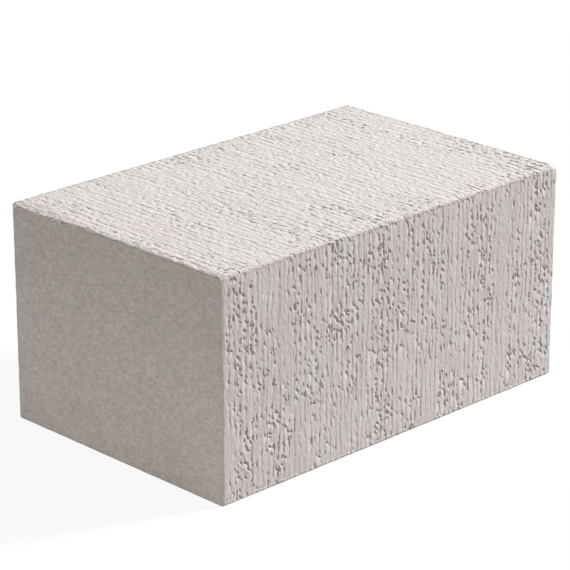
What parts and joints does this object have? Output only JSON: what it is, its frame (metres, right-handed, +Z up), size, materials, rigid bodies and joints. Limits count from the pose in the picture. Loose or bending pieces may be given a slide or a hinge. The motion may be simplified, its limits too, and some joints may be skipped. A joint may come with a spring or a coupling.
{
  "type": "aerated concrete foundation block",
  "caption": "Solid aerated concrete masonry block with wire-cut beds and sides, smooth ends, worn arrises and a few knocked corners.",
  "frame": {"origin": "centre of the bottom bed, which rests on the floor", "axes": "+X along the length towards the right end, +Y across the width towards the back side, +Z up through the top bed"},
  "size_m": [0.44, 0.28, 0.215],
  "materials": {
    "aerated_concrete": "matt, wire-cut, with fine upright drag marks"
  },
  "bodies": {
    "root": {"block": "aerated_concrete"}
  },
  "joints": []
}
